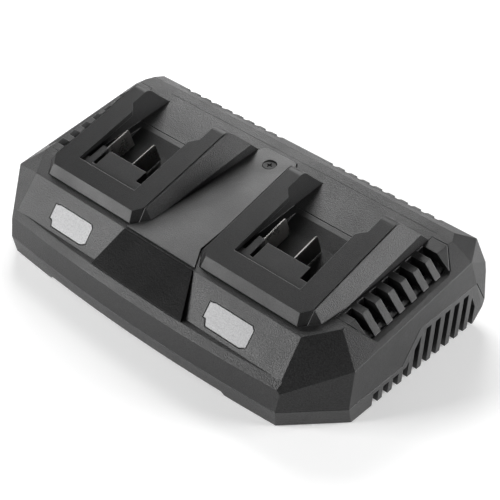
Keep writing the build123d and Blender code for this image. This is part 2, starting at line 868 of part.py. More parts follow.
def base_envelope(inset, bottom):
    """The base below the parting line, every wall moved inwards by inset."""
    facet_across = (front_corner_length, -(half_width - bow_half_width))
    heel_angle = radians(base_heel_angle)
    heel_point = (0, back_y - base_heel_inset, base_bottom)
    heel = Plane(origin=heel_point, z_dir=(0, sin(heel_angle), -cos(heel_angle)))
    with BuildPart() as envelope:
        height = parting_height - base_bottom
        add(nose_layer(base_bottom, height, base_draft_run, -base_draft, inset))
        with Locations((0, 0, base_bottom)):
            Box(envelope_size, envelope_size, height, align=backwards)
        split(bisect_by=drafted((0, back_y), (0, 1), inset, base_end_draft), keep=Keep.BOTTOM)
        split(bisect_by=heel.offset(-inset), keep=Keep.BOTTOM)
        for side in sides.values():
            end_wall = drafted((side * half_width, 0), (side, 0), inset, base_end_draft)
            split(bisect_by=end_wall, keep=Keep.BOTTOM)
            corner = (side * bow_half_width, front_y + front_bow)
            across = (side * facet_across[0], facet_across[1])
            split(bisect_by=drafted(corner, across, inset, base_draft), keep=Keep.BOTTOM)
            split(bisect_by=corner_planes(side)[4].offset(-inset), keep=Keep.BOTTOM)
        split(bisect_by=Plane.XY.offset(bottom), keep=Keep.TOP)
        split(bisect_by=Plane.XY.offset(base_rim), keep=Keep.BOTTOM)
    return envelope.part


def base_slots(side):
    """The vent slots of the base at one end, open at its lower edge."""
    low_top = parting_height - slot_margin
    high_top = side_parting_height - slot_margin
    first_y = front_y + first_slot_setback
    last_y = back_y - last_slot_inset
    heel_y = back_y - slot_heel_inset
    outline = [
        (first_y - base_slot_pitch / 2, -base_bottom),
        (first_y - base_slot_pitch / 2, low_top),
        (front_y + side_step_foot_setback + slot_margin, low_top),
        (front_y + side_step_top_setback + slot_margin, high_top),
        (last_y, high_top),
        (heel_y, slot_heel_height),
        (heel_y, -base_bottom),
    ]
    count = int((heel_y - first_y) / base_slot_pitch) + 1
    with BuildPart() as slots:
        for index in range(count):
            y = first_y + index * base_slot_pitch
            with Locations(Location((side * half_width, y, slot_pivot_height), (-base_slot_lean, 0, 0))):
                Box(2 * slot_reach, base_slot_width, clear_height)
        with BuildSketch(Plane.YZ.offset(side * (half_width - slot_reach))):
            with BuildLine():
                Polyline(outline, close=True)
            make_face()
        extrude(amount=side * 2 * slot_reach, mode=Mode.INTERSECT)
    return slots.part


def raised_wall(side):
    """Base wall of the raised vent section at one end."""
    with BuildPart() as wall:
        add(body_envelope(0, base_rim))
        add(body_envelope(base_wall, base_rim), mode=Mode.SUBTRACT)
        add(side_prism(side, 0), mode=Mode.INTERSECT)
    return wall.part


board_rows = (board_y - board_width / 2 + post_inset, board_y + board_width / 2 - post_inset)
post_x = board_length / 2 - post_inset
fan_x = half_width - fan_inset
fan_y = front_y + fan_setback
keyhole_y = front_y + keyhole_setback
foot_places = {
    f"{row}_{name}": (side * (half_width - foot_inset), y)
    for row, y in (("front", front_y + foot_front_setback), ("back", back_y - foot_back_inset))
    for name, side in sides.items()
}
base_outer = base_envelope(0, base_bottom)
with BuildPart() as base_tray:
    add(base_outer)
    add(base_envelope(base_wall, floor_top), mode=Mode.SUBTRACT)
    for side in sides.values():
        add(raised_wall(side))
        add(base_slots(side), mode=Mode.SUBTRACT)
    # front skirt raised between the corners
    with BuildSketch(Plane.XZ.offset(-front_y - skirt_depth)):
        with BuildLine():
            Polyline(
                (-skirt_half - skirt_rise, 0),
                (-skirt_half - skirt_rise, base_bottom),
                (-skirt_half, base_bottom + skirt_rise),
                (skirt_half, base_bottom + skirt_rise),
                (skirt_half + skirt_rise, base_bottom),
                (skirt_half + skirt_rise, 0),
                close=True,
            )
        make_face()
    extrude(amount=2 * skirt_depth, mode=Mode.SUBTRACT)
    # screw pillars, board posts and fan cradle
    for side in sides.values():
        for y in screw_rows:
            with Locations((side * case_screw_x, y, base_bottom)):
                pillar_height = boss_foot - seat_gap - base_bottom
                Cylinder(pillar_radius, pillar_height, align=upright)
                Cylinder(screw_clear_radius, pillar_height, align=upright, mode=Mode.SUBTRACT)
                Cylinder(screw_sink_radius, screw_sink_depth, align=upright, mode=Mode.SUBTRACT)
        for y in board_rows:
            with Locations((side * post_x, y, floor_top - floor_root)):
                Cylinder(post_radius, board_height - seat_gap - floor_top + floor_root, align=upright)
                Cylinder(post_hole_radius, board_height, align=upright, mode=Mode.SUBTRACT)
    for x_side in (-1, 1):
        x = fan_x + x_side * (fan_depth / 2 + seat_gap + cradle_wall / 2)
        for y_side in (-1, 1):
            with Locations((x, fan_y + y_side * (fan_size / 2 - cradle_width / 2), floor_top - floor_root)):
                Box(cradle_wall, cradle_width, cradle_height, align=upright)
    # recesses for the feet and keyholes for hanging on a wall
    for x, y in foot_places.values():
        with Locations((x, y, base_bottom)):
            Cylinder(foot_radius + seat_gap, foot_depth - foot_protrusion,
                     align=upright, mode=Mode.SUBTRACT)
    for side in sides.values():
        with Locations((side * keyhole_pitch / 2, keyhole_y, base_bottom)):
            Cylinder(keyhole_head_radius, base_floor, align=upright, mode=Mode.SUBTRACT)
            Box(2 * keyhole_neck_radius, keyhole_travel, base_floor, align=backwards, mode=Mode.SUBTRACT)
        with Locations((side * keyhole_pitch / 2, keyhole_y + keyhole_travel, base_bottom)):
            Cylinder(keyhole_neck_radius, base_floor, align=upright, mode=Mode.SUBTRACT)
export(base_tray.part, "base_tray")

# ---- docks -------------------------------------------------------------------


def dock_band(bay_x, start, end, depth_a, depth_b, half):
    """Solid between two depths below a dock's surface, along part of its length."""
    points = [
        (start, dock_z(start) - depth_a),
        (end, dock_z(end) - depth_a),
        (end, dock_z(end) - depth_b),
        (start, dock_z(start) - depth_b),
    ]
    return station_profile(bay_x, points, half)


def dock_outline(grow, back):
    """Plan of a whole dock, grown outwards except at the back."""
    side = dock_half_width - seam_gap + grow
    front = dock_foot_station - grow
    right = [(dock_nose_half, front), (side, dock_side_start), (side, back)]
    return right + [(-u, v) for u, v in reversed(right)]


def dock_flange(bay_x):
    """The rim of a dock under the cover's deck."""
    outline = lies_in(bay_x, dock_outline(flange_reach, flange_end_station))
    with BuildPart() as flange:
        add(plan_prism(outline, dock_cut_floor, clear_height))
        split(bisect_by=deck_plane(flange_depth + flange_thickness), keep=Keep.TOP)
        split(bisect_by=deck_plane(flange_depth), keep=Keep.BOTTOM)
    return flange.part


for name, bay_x in bay_centres.items():
    plan = lies_in(bay_x, dock_outline(0, dock_end_station))
    with BuildPart() as dock:
        add(bay_envelope(bay_x, pocket_floor))
        add(plan_prism(plan, dock_cut_floor, clear_height), mode=Mode.INTERSECT)
        split(bisect_by=deck_plane(dock_skirt), keep=Keep.TOP)
        add(dock_flange(bay_x))
        add(dock_band(bay_x, tub_front_station, tub_back_station, tub_depth, arm_skin, tub_half_width))
        beyond = 2 * dock_end_station
        lip_foot = [(v, dock_z(v) - lip_thickness) for v in (beyond, groove_station)]
        well = [
            (recess_station, dock_z(recess_station) - well_depth),
            (well_floor_end_station, dock_z(well_floor_end_station) - well_depth),
            (ledge_station, deck_z(bay_y + ledge_station)),
            (beyond, deck_z(bay_y + beyond)),
            (beyond, clear_height),
            (recess_station, clear_height),
        ]
        add(station_profile(bay_x, well, rail_half_gap), mode=Mode.SUBTRACT)
        grooves = [(v, deck_z(bay_y + v)) for v in (groove_station, beyond)] + lip_foot
        add(station_profile(bay_x, grooves, groove_half_gap), mode=Mode.SUBTRACT)
        for side in (-1, 1):
            arm_x = bay_x + side * (groove_half_gap + dock_half_width - seam_gap) / 2
            hollow_half = (dock_half_width - seam_gap - groove_half_gap) / 2 - arm_wall
            hollow = dock_band(arm_x, arm_hollow_start, arm_hollow_end, clear_height, arm_skin, hollow_half)
            add(hollow, mode=Mode.SUBTRACT)
        back_gap = bed_station - seam_gap
        under_lips = [
            (back_gap, dock_cut_floor),
            (beyond, dock_cut_floor),
            (beyond, dock_z(beyond) - lip_thickness),
            (back_gap, dock_z(back_gap) - lip_thickness),
        ]
        add(station_profile(bay_x, under_lips, groove_half_gap), mode=Mode.SUBTRACT)
        lip_start = lip_end_station - lip_lead_in
        lead_in = [
            (rail_half_gap, lip_start),
            (groove_half_gap, lip_end_station),
            (groove_half_gap, beyond),
        ]
        lead_in += [(-u, v) for u, v in reversed(lead_in)]
        add(plan_prism(lies_in(bay_x, lead_in), lip_clear_height, clear_height), mode=Mode.SUBTRACT)
    export(dock.part, f"dock_{name}")

# ---- terminal blocks and blades ----------------------------------------------
block_top_depth = recess_depth
block_foot_depth = well_depth - seat_gap
block_side = rail_half_gap - seat_gap
block_front = recess_station + seat_gap


def block_column(bay_x, left, right, end):
    """Part of a terminal block between two offsets across the bay."""
    middle = bay_x + (left + right) / 2
    return dock_band(middle, block_front, end, block_foot_depth, block_top_depth, (right - left) / 2)


for name, bay_x in bay_centres.items():
    with BuildPart() as block:
        add(block_column(bay_x, -block_side, tongue_left_edge, left_shelf_station))
        add(block_column(bay_x, tongue_left_edge, tongue_right_edge, tongue_station))
        add(block_column(bay_x, tongue_right_edge, block_left_edge, slot_station))
        add(block_column(bay_x, block_left_edge, block_right_edge, block_back_station))
        add(block_column(bay_x, block_right_edge, block_side, right_shelf_station))
        for offset in (blade_left_offset, blade_right_offset):
            half = blade_thickness / 2 + shaft_gap
            slot_start = blade_root_station - seat_gap
            slot_top = blade_neck_depth - seat_gap
            add(dock_band(bay_x + offset, slot_start, 2 * tongue_station, well_depth, slot_top, half),
                mode=Mode.SUBTRACT)
    export(block.part, f"terminal_block_{name}")

    blades = (("a", blade_left_offset, tongue_station), ("b", blade_right_offset, block_back_station))
    for mark, offset, block_end in blades:
        shoulder = blade_tip_station - blade_tip_run
        neck = block_end + blade_neck_gap
        outline = [
            (blade_root_station, dock_z(blade_root_station) - blade_neck_depth),
            (neck, dock_z(neck) - blade_neck_depth),
            (neck, dock_z(neck) - blade_top_depth),
            (shoulder, dock_z(shoulder) - blade_top_depth),
            (blade_tip_station, dock_z(blade_tip_station) - blade_tip_depth),
            (blade_foot_station, dock_z(blade_foot_station) - blade_bottom_depth),
            (blade_root_station, dock_z(blade_root_station) - blade_bottom_depth),
        ]
        with BuildPart() as contact_blade:
            add(station_profile(bay_x + offset, outline, blade_thickness / 2))
        export(contact_blade.part, f"contact_blade_{name}_{mark}")

# ---- centre cover, its screw and the plate -----------------------------------
centre_top = [(centre_front_y, centre_front_height), (centre_back_y, centre_back_height)]
with BuildPart() as centre_cover:
    with BuildSketch(Plane.YZ):
        with BuildLine():
            Polyline(centre_top + [(y, z - centre_thickness) for y, z in reversed(centre_top)], close=True)
        make_face()
    extrude(amount=centre_front_half_width, both=True)
    add(plan_prism(centre_outline(0), pocket_floor, clear_height), mode=Mode.INTERSECT)
    for y in bridge_rows:
        z = centre_z(y) - bridge_drop + seat_gap
        with Locations((0, y, z)):
            Cylinder(centre_boss_radius, bridge_drop - centre_thickness / 2, align=upright)
    with Locations((0, cover_screw_y, centre_z(cover_screw_y) - cover_screw_recess_depth)):
        Cylinder(cover_screw_recess_radius, clear_height, align=upright, mode=Mode.SUBTRACT)
    with Locations((0, cover_screw_y, centre_z(cover_screw_y))):
        Cylinder(cover_screw_shank_radius + seat_gap, 2 * cover_screw_length, mode=Mode.SUBTRACT)
export(centre_cover.part, "centre_cover")


def round_screw(length, shank, head, head_height, slot):
    """A screw standing on its tip: shank below z=0, head above, with a cross recess."""
    with BuildPart() as screw:
        Cylinder(shank, length, align=hanging)
        Cylinder(head, head_height, align=upright)
        with Locations((0, 0, head_height)):
            Box(slot, slot / 4, head_height, mode=Mode.SUBTRACT)
            Box(slot / 4, slot, head_height, mode=Mode.SUBTRACT)
    return screw.part


with BuildPart() as cover_screw:
    seat = centre_z(cover_screw_y) - cover_screw_recess_depth
    with Locations((0, cover_screw_y, seat)):
        add(round_screw(cover_screw_length, cover_screw_shank_radius - shaft_gap, cover_screw_head_radius,
                        cover_screw_head_height, cover_screw_head_radius))
export(cover_screw.part, "cover_screw")

with BuildPart() as name_plate:
    foot = (front_y + plate_foot_setback, plate_foot_height)
    top = (front_y + plate_top_setback, plate_top_height)
    with BuildSketch(Plane.YZ):
        with BuildLine():
            Polyline(
                foot,
                top,
                (panel_top_y - plate_lift, deck_front_height),
                (panel_foot_y - plate_lift, plate_foot_height),
                close=True,
            )
        make_face()
    extrude(amount=2 * plate_foot_half_width, both=True)
    for side in sides.values():
        corner = (side * plate_foot_half_width, *foot)
        upper = (side * plate_top_half_width, *top)
        behind = (corner[0], corner[1] + panel_rise, corner[2] - panel_run)
        split(bisect_by=plane_through(corner, upper, behind, (0, *foot)), keep=Keep.BOTTOM)
export(name_plate.part, "name_plate")

# ---- status windows and their lights -----------------------------------------
for name, bay_x in bay_centres.items():
    with BuildPart() as status_window:
        add(window_solid(bay_x, 0, window_thickness, 0))
        add(window_solid(bay_x, window_flange_reach, window_flange_thickness, -window_flange_depth))
    export(status_window.part, f"status_window_{name}")

    led_post_length = led_board_depth - window_flange_depth - window_flange_thickness - seat_gap
    middle = (window_left_edge + window_right_edge) / 2
    rise = (window_high_setback - window_low_setback) * panel_length / panel_run / 2
    with BuildPart() as led_board:
        with Locations(panel_plane(bay_x).offset(-led_board_depth)):
            with Locations((middle, rise, 0)):
                Box(led_board_length, led_board_width, led_board_thickness, align=hanging)
            for end in (-1, 1):
                with Locations((middle + end * led_post_offset, rise, 0)):
                    Cylinder(led_post_radius, led_post_length, align=upright)
    export(led_board.part, f"led_board_{name}")
    with BuildPart() as status_leds:
        with Locations(panel_plane(bay_x).offset(-led_board_depth)):
            for index in range(led_count):
                with Locations((middle + (index - (led_count - 1) / 2) * led_pitch, rise, 0)):
                    Cylinder(led_radius, led_height, align=upright)
    export(status_leds.part, f"status_leds_{name}")

# ---- vent louvres ------------------------------------------------------------


def shell(outer, inner):
    """Casing wall between two depths."""
    with BuildPart() as wall:
        add(body_envelope(outer, parting_height))
        add(body_envelope(inner, parting_height - cut_margin), mode=Mode.SUBTRACT)
    return wall.part


def end_rim(side):
    """The flange of an end vent, under the cover's wall."""
    with BuildPart() as rim:
        add(shell(louvre_flange_depth, louvre_flange_depth + louvre_flange_thickness))
        add(louvre_prism(side, louvre_flange_reach), mode=Mode.INTERSECT)
        add(louvre_prism(side, -louvre_flange_inner), mode=Mode.SUBTRACT)
    return rim.part


def back_rim(side):
    """The flange of a back vent, under the cover's wall."""
    with BuildPart() as rim:
        add(shell(flange_depth, flange_depth + louvre_flange_thickness))
        add(back_vent_box(side, louvre_flange_reach), mode=Mode.INTERSECT)
        add(back_vent_box(side, -louvre_flange_reach), mode=Mode.SUBTRACT)
    return rim.part


end_louvre_shell = shell(0, louvre_wall)
back_louvre_shell = shell(0, back_vent_wall)
for name, side in sides.items():
    with BuildPart() as end_louvre:
        add(end_louvre_shell)
        add(louvre_prism(side, 0), mode=Mode.INTERSECT)
        add(end_slots(side), mode=Mode.SUBTRACT)
        add(rib_relief(side), mode=Mode.SUBTRACT)
        add(end_rim(side))
    export(end_louvre.part, f"end_louvre_{name}")

    with BuildPart() as back_louvre:
        add(back_louvre_shell)
        add(back_vent_box(side, 0), mode=Mode.INTERSECT)
        add(back_rim(side))
        add(back_slots(side), mode=Mode.SUBTRACT)
    export(back_louvre.part, f"back_louvre_{name}")


# ---- main board and its components -------------------------------------------
board_top = board_height + board_thickness
with BuildPart() as main_board:
    with Locations((0, board_y, board_height)):
        Box(board_length, board_width, board_thickness, align=upright)
    for side in sides.values():
        for y in board_rows:
            with Locations((side * post_x, y, board_height)):
                Cylinder(screw_clear_radius, 2 * board_thickness, mode=Mode.SUBTRACT)
export(main_board.part, "main_board")


def on_board(x, y):
    """Place on the board, x and y from the board's middle."""
    return Location((x, board_y + y, board_top))


with BuildPart() as transformer_core:
    with Locations(on_board(transformer_x, transformer_y)):
        Box(core_length, core_width, core_height, align=upright)
    for end in (-1, 1):
        with Locations(on_board(transformer_x + end * core_window_offset, transformer_y)):
            with Locations((0, 0, core_leg)):
                Box(core_window, 2 * core_width, core_height - 2 * core_leg,
                    align=upright, mode=Mode.SUBTRACT)
export(transformer_core.part, "transformer_core")

core_middle = 2 * (core_window_offset - core_window / 2)
with BuildPart() as transformer_winding:
    with Locations(on_board(transformer_x, transformer_y)):
        with Locations((0, 0, core_leg + seat_gap)):
            height = core_height - 2 * core_leg - 2 * seat_gap
            Box(core_middle + 2 * core_window - 2 * winding_gap, core_width + winding_bulge, height,
                align=upright)
            fillet(transformer_winding.edges().filter_by(Axis.Z), winding_corner)
            Box(core_middle + 2 * seat_gap, core_width + 2 * seat_gap, height,
                align=upright, mode=Mode.SUBTRACT)
export(transformer_winding.part, "transformer_winding")

with BuildPart() as bulk_capacitor:
    with Locations(on_board(capacitor_x, capacitor_y)):
        Cylinder(capacitor_radius, capacitor_height, align=upright)
    fillet(bulk_capacitor.edges().group_by(Axis.Z)[-1], capacitor_edge)
export(bulk_capacitor.part, "bulk_capacitor")

with BuildPart() as heat_sink:
    with Locations(on_board(sink_x, sink_y)):
        Box(sink_length, sink_thickness, sink_height, align=upright)
        for index in range(sink_fin_count):
            fin_x = (index - (sink_fin_count - 1) / 2) * sink_fin_pitch
            with Locations((fin_x, sink_thickness / 2 - seat_gap, 0)):
                Box(sink_thickness, sink_fin_length, sink_height, align=backwards)
export(heat_sink.part, "heat_sink")

with BuildPart() as power_transistors:
    for index in (-1, 1):
        with Locations(on_board(sink_x + index * transistor_offset, sink_y - sink_thickness / 2 - seat_gap)):
            with Locations((0, 0, transistor_lift)):
                Box(transistor_width, transistor_thickness, transistor_height,
                    align=(Align.CENTER, Align.MAX, Align.MIN))
            with Locations((0, -transistor_thickness / 2, 0)):
                Box(transistor_leg, transistor_leg, transistor_lift, align=upright)
export(power_transistors.part, "power_transistors")

with BuildPart() as fuse:
    with Locations(on_board(fuse_x, fuse_y)):
        with Locations(Location((0, 0, fuse_radius), (0, 90, 0))):
            Cylinder(fuse_radius, fuse_length)
export(fuse.part, "fuse")

with BuildPart() as output_choke:
    with Locations(on_board(choke_x, choke_y)):
        with Locations((0, 0, choke_radius)):
            Torus(choke_ring_radius, choke_radius)
export(output_choke.part, "output_choke")

# ---- fan ---------------------------------------------------------------------
fan_middle_z = floor_top + seat_gap + fan_size / 2
fan_plane = Plane(origin=(fan_x, fan_y, fan_middle_z), x_dir=(0, 1, 0), z_dir=(1, 0, 0))
with BuildPart() as fan_frame:
    with BuildSketch(fan_plane.offset(-fan_depth / 2)):
        RectangleRounded(fan_size, fan_size, fan_corner)
        Circle(fan_bore_radius, mode=Mode.SUBTRACT)
    extrude(amount=fan_depth)
    with BuildSketch(fan_plane.offset(-fan_depth / 2)):
        Circle(rotor_hub_radius)
        for index in range(fan_strut_count):
            with Locations(Rot(0, 0, 360 / fan_strut_count * (index + 0.5))):
                with Locations((fan_bore_radius / 2, 0)):
                    Rectangle(fan_bore_radius + fan_wall, fan_strut_width)
    extrude(amount=fan_wall)
    with BuildSketch(fan_plane.offset(-fan_depth / 2)):
        Circle(fan_sleeve_radius)
    extrude(amount=fan_sleeve_length)
    with BuildSketch(fan_plane.offset(-fan_depth / 2)):
        Circle(rotor_shaft_radius + shaft_gap)
    extrude(amount=fan_depth, mode=Mode.SUBTRACT)
export(fan_frame.part, "fan_frame")

rotor_back = -fan_depth / 2 + fan_wall + rotor_end_gap
with BuildPart() as vanes:
    for index in range(rotor_blade_count):
        spoke = fan_plane.location * Rot(0, 0, 360 / rotor_blade_count * index)
        reach = (rotor_blade_radius + rotor_hub_radius - vane_root) / 2
        with Locations(spoke * Pos(reach, 0, rotor_back + rotor_length / 2) * Rot(vane_pitch, 0, 0)):
            Box(rotor_blade_radius - rotor_hub_radius + vane_root, vane_chord, vane_thickness)
    with BuildSketch(fan_plane.offset(rotor_back)):
        Circle(rotor_blade_radius)
    extrude(amount=rotor_length, mode=Mode.INTERSECT)

with BuildPart() as fan_rotor:
    with BuildSketch(fan_plane.offset(rotor_back)):
        Circle(rotor_hub_radius)
    extrude(amount=rotor_length)
    with BuildSketch(fan_plane.offset(rotor_back)):
        Circle(fan_sleeve_radius + rotor_end_gap)
    extrude(amount=fan_sleeve_length - fan_wall, mode=Mode.SUBTRACT)
    with BuildSketch(fan_plane.offset(-fan_depth / 2)):
        Circle(rotor_shaft_radius)
    extrude(amount=fan_wall + rotor_length)
    add(vanes.part)
export(fan_rotor.part, "fan_rotor")

# ---- feet, screws and cord gland ---------------------------------------------
for name, (x, y) in foot_places.items():
    with BuildPart() as foot_pad:
        with Locations((x, y, 0)):
            Cylinder(foot_radius, foot_depth, align=upright)
        chamfer(foot_pad.edges().group_by(Axis.Z)[0], foot_edge)
    export(foot_pad.part, f"foot_{name}")

with BuildPart() as case_screws:
    for side in sides.values():
        for y in screw_rows:
            seat = base_bottom + screw_sink_depth
            with Locations(Location((side * case_screw_x, y, seat), (180, 0, 0))):
                add(round_screw(case_screw_length, boss_hole_radius - shaft_gap, screw_head_radius,
                                screw_head_height, screw_head_radius))
export(case_screws.part, "case_screws")

with BuildPart() as board_screws:
    for side in sides.values():
        for y in board_rows:
            with Locations((side * post_x, y, board_top)):
                add(round_screw(board_screw_length, post_hole_radius - shaft_gap, screw_head_radius,
                                screw_head_height, screw_head_radius))
export(board_screws.part, "board_screws")

gland_plane = Plane(origin=(gland_x, back_y, gland_height), z_dir=(0, -1, 0))
with BuildPart() as cord_gland:
    with BuildSketch(gland_plane):
        Circle(gland_radius)
    extrude(amount=gland_length)
    with BuildSketch(gland_plane.offset(cover_wall + seat_gap)):
        Circle(gland_flange_radius)
    extrude(amount=gland_flange_thickness)
    with BuildSketch(gland_plane):
        Circle(gland_bore_radius)
    extrude(amount=gland_length, mode=Mode.SUBTRACT)
export(cord_gland.part, "cord_gland")
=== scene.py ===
import json
import math
import bpy
from mathutils import Matrix, Vector


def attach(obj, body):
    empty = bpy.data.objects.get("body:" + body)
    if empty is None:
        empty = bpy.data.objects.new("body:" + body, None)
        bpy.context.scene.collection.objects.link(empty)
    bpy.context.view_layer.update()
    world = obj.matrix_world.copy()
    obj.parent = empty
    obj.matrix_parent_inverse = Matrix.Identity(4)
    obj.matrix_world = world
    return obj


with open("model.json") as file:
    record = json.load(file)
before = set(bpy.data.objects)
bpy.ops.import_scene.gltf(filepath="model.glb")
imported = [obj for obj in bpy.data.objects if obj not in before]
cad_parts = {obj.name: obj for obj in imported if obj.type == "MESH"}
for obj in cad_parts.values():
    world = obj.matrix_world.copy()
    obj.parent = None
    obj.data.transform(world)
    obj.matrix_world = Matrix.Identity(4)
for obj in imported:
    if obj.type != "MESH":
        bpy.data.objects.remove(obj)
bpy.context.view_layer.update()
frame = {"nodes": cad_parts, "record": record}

nodes = frame["nodes"]
slotOf = {entry["node"]: entry["material_slot"] for entry in frame["record"]["subparts"]}
scene = bpy.context.scene
print("frame loaded:", len(nodes), "nodes")


# camera: where it stands, in metres, and how it is turned
cameraView = {
    "place": (0.3885, -0.38875, 0.4567),
    "azimuth": 43.432,  # degrees from the front towards the right end
    "elevation": 38.646,
    "focalPixels": 1336.0,
    "framePixels": 500.0,
    "sensor": 36.0,
    "nearest": 0.01,
}


def makeCamera():
    view = cameraView
    camera = bpy.data.objects.new("camera", bpy.data.cameras.new("camera"))
    scene.collection.objects.link(camera)
    azimuth, elevation = math.radians(view["azimuth"]), math.radians(view["elevation"])
    level = math.cos(elevation)
    back = Vector((math.sin(azimuth) * level, -math.cos(azimuth) * level, math.sin(elevation)))
    right = Vector((math.cos(azimuth), math.sin(azimuth), 0))
    up = back.cross(right)
    turn = Matrix((right, up, back)).transposed().to_4x4()
    camera.matrix_world = Matrix.Translation(view["place"]) @ turn
    camera.data.sensor_width = view["sensor"]
    camera.data.sensor_fit = "HORIZONTAL"
    camera.data.lens = view["focalPixels"] * view["sensor"] / view["framePixels"]
    camera.data.clip_start = view["nearest"]
    scene.camera = camera


makeCamera()
print("camera placed")


# materials
def newMaterial(name):
    material = bpy.data.materials.new(name)
    material.use_nodes = True
    tree = material.node_tree
    return material, tree, tree.nodes["Principled BSDF"]


def addNode(tree, kind, **settings):
    node = tree.nodes.new(kind)
    for key, value in settings.items():
        if hasattr(node, key):
            setattr(node, key, value)
        else:
            node.inputs[key].default_value = value
    return node


def mapRange(tree, fromMin, fromMax, toMin, toMax):
    node = addNode(tree, "ShaderNodeMapRange")
    limits = {"From Min": fromMin, "From Max": fromMax, "To Min": toMin, "To Max": toMax}
    for key, value in limits.items():
        node.inputs[key].default_value = value
    return node


def colourRamp(tree, dark, pale, start=0.32, end=0.70):
    ramp = addNode(tree, "ShaderNodeValToRGB")
    for element, place, colour in zip(ramp.color_ramp.elements, (start, end), (dark, pale)):
        element.position = place
        element.color = (*colour, 1)
    return ramp


def grey(value):
    return (value, value, value * 1.02)  # a touch of blue


noiseSpan = (0.3, 0.7)  # where most of a noise texture's values lie


# spark-eroded plastics: dark and pale are the two tones of the grain, edgeWearAndHighlight is the paler
# tone painted on the corners, partly rubbed wear and partly a painted highlight where light catches the
# edges
plasticKinds = {
    "casing": {"dark": 0.004, "pale": 0.026, "edgeWearAndHighlight": 0.13, "rough": (0.37, 0.47),
               "grain": 1500, "depth": 0.75, "gloss": 0.34},
    "base": {"dark": 0.006, "pale": 0.036, "edgeWearAndHighlight": 0.11, "rough": (0.38, 0.48),
             "grain": 1500, "depth": 0.75, "gloss": 0.55},
    "dock": {"dark": 0.004, "pale": 0.018, "edgeWearAndHighlight": 0.14, "rough": (0.42, 0.52),
             "grain": 1900, "depth": 0.40, "gloss": 0.32},
    "terminal": {"dark": 0.008, "pale": 0.022, "edgeWearAndHighlight": 0.06, "rough": (0.44, 0.56),
                 "grain": 1900, "depth": 0.30, "gloss": 0.38},
    "plate": {"dark": 0.001, "pale": 0.009, "edgeWearAndHighlight": 0.06, "rough": (0.42, 0.55),
              "grain": 1200, "depth": 0.95, "gloss": 0.06},
    "louvre": {"dark": 0.004, "pale": 0.022, "edgeWearAndHighlight": 0.18, "rough": (0.40, 0.50),
               "grain": 1600, "depth": 0.50, "gloss": 0.32},
    "centre": {"dark": 0.005, "pale": 0.024, "edgeWearAndHighlight": 0.09, "rough": (0.42, 0.54),
               "grain": 1800, "depth": 0.40, "gloss": 0.50},
}
plasticSurface = {
    "cloudScale": 55.0, "cloudDetail": 4.0, "cloudRough": 0.6,
    "grainDetail": 3.0, "grainRough": 0.65, "grainHeight": 0.0003,
    "cornerRadius": 0.0005, "wearHighlightFrom": 0.99, "wearHighlightTo": 0.75, "wearHighlightMost": 0.7,
}


def texturedPlastic(name, kind):
    values = plasticKinds[kind]
    surface = plasticSurface
    material, tree, shader = newMaterial(name)
    link = tree.links.new
    place = addNode(tree, "ShaderNodeTexCoord")
    cloud = addNode(tree, "ShaderNodeTexNoise", Scale=surface["cloudScale"], Detail=surface["cloudDetail"],
                    Roughness=surface["cloudRough"])
    grain = addNode(tree, "ShaderNodeTexNoise", Scale=float(values["grain"]), Detail=surface["grainDetail"],
                    Roughness=surface["grainRough"])
    colour = colourRamp(tree, grey(values["dark"]), grey(values["pale"]))
    rough = mapRange(tree, *noiseSpan, *values["rough"])
    bump = addNode(tree, "ShaderNodeBump", Strength=values["depth"], Distance=surface["grainHeight"])
    link(place.outputs["Object"], cloud.inputs["Vector"])
    link(place.outputs["Object"], grain.inputs["Vector"])
    link(grain.outputs["Fac"], colour.inputs["Fac"])
    link(cloud.outputs["Fac"], rough.inputs["Value"])
    # corners are painted a little paler, where the rounded normal leaves the flat one: partly rubbed wear,
    # partly a painted highlight on the edges
    geometry = addNode(tree, "ShaderNodeNewGeometry")
    rounded = addNode(tree, "ShaderNodeBevel", samples=6, Radius=surface["cornerRadius"])
    spread = addNode(tree, "ShaderNodeVectorMath", operation="DOT_PRODUCT")
    wearAndHighlightMask = mapRange(tree, surface["wearHighlightFrom"], surface["wearHighlightTo"], 0.0, surface["wearHighlightMost"])
    tint = addNode(tree, "ShaderNodeMix", data_type="RGBA")
    tint.inputs[7].default_value = (*grey(values["edgeWearAndHighlight"]), 1)
    link(geometry.outputs["True Normal"], spread.inputs[0])
    link(rounded.outputs["Normal"], spread.inputs[1])
    link(spread.outputs["Value"], wearAndHighlightMask.inputs["Value"])
    link(wearAndHighlightMask.outputs["Result"], tint.inputs[0])
    link(colour.outputs["Color"], tint.inputs[6])
    link(rounded.outputs["Normal"], bump.inputs["Normal"])
    link(grain.outputs["Fac"], bump.inputs["Height"])
    link(tint.outputs[2], shader.inputs["Base Color"])
    link(rough.outputs["Result"], shader.inputs["Roughness"])
    link(bump.outputs["Normal"], shader.inputs["Normal"])
    shader.inputs["Specular IOR Level"].default_value = values["gloss"]
    return material


def simpleMaterial(name, dark, pale, rough, metal=0.0, scale=300.0, depth=0.1):
    material, tree, shader = newMaterial(name)
    link = tree.links.new
    place = addNode(tree, "ShaderNodeTexCoord")
    noise = addNode(tree, "ShaderNodeTexNoise", Scale=scale, Detail=4.0)
    colour = colourRamp(tree, dark, pale)
    shine = mapRange(tree, *noiseSpan, rough * 0.85, rough * 1.15)
    bump = addNode(tree, "ShaderNodeBump", Strength=depth, Distance=0.0001)
    link(place.outputs["Object"], noise.inputs["Vector"])
    link(noise.outputs["Fac"], colour.inputs["Fac"])
    link(noise.outputs["Fac"], shine.inputs["Value"])
    link(noise.outputs["Fac"], bump.inputs["Height"])
    link(colour.outputs["Color"], shader.inputs["Base Color"])
    link(shine.outputs["Result"], shader.inputs["Roughness"])
    link(bump.outputs["Normal"], shader.inputs["Normal"])
    shader.inputs["Metallic"].default_value = metal
    return material


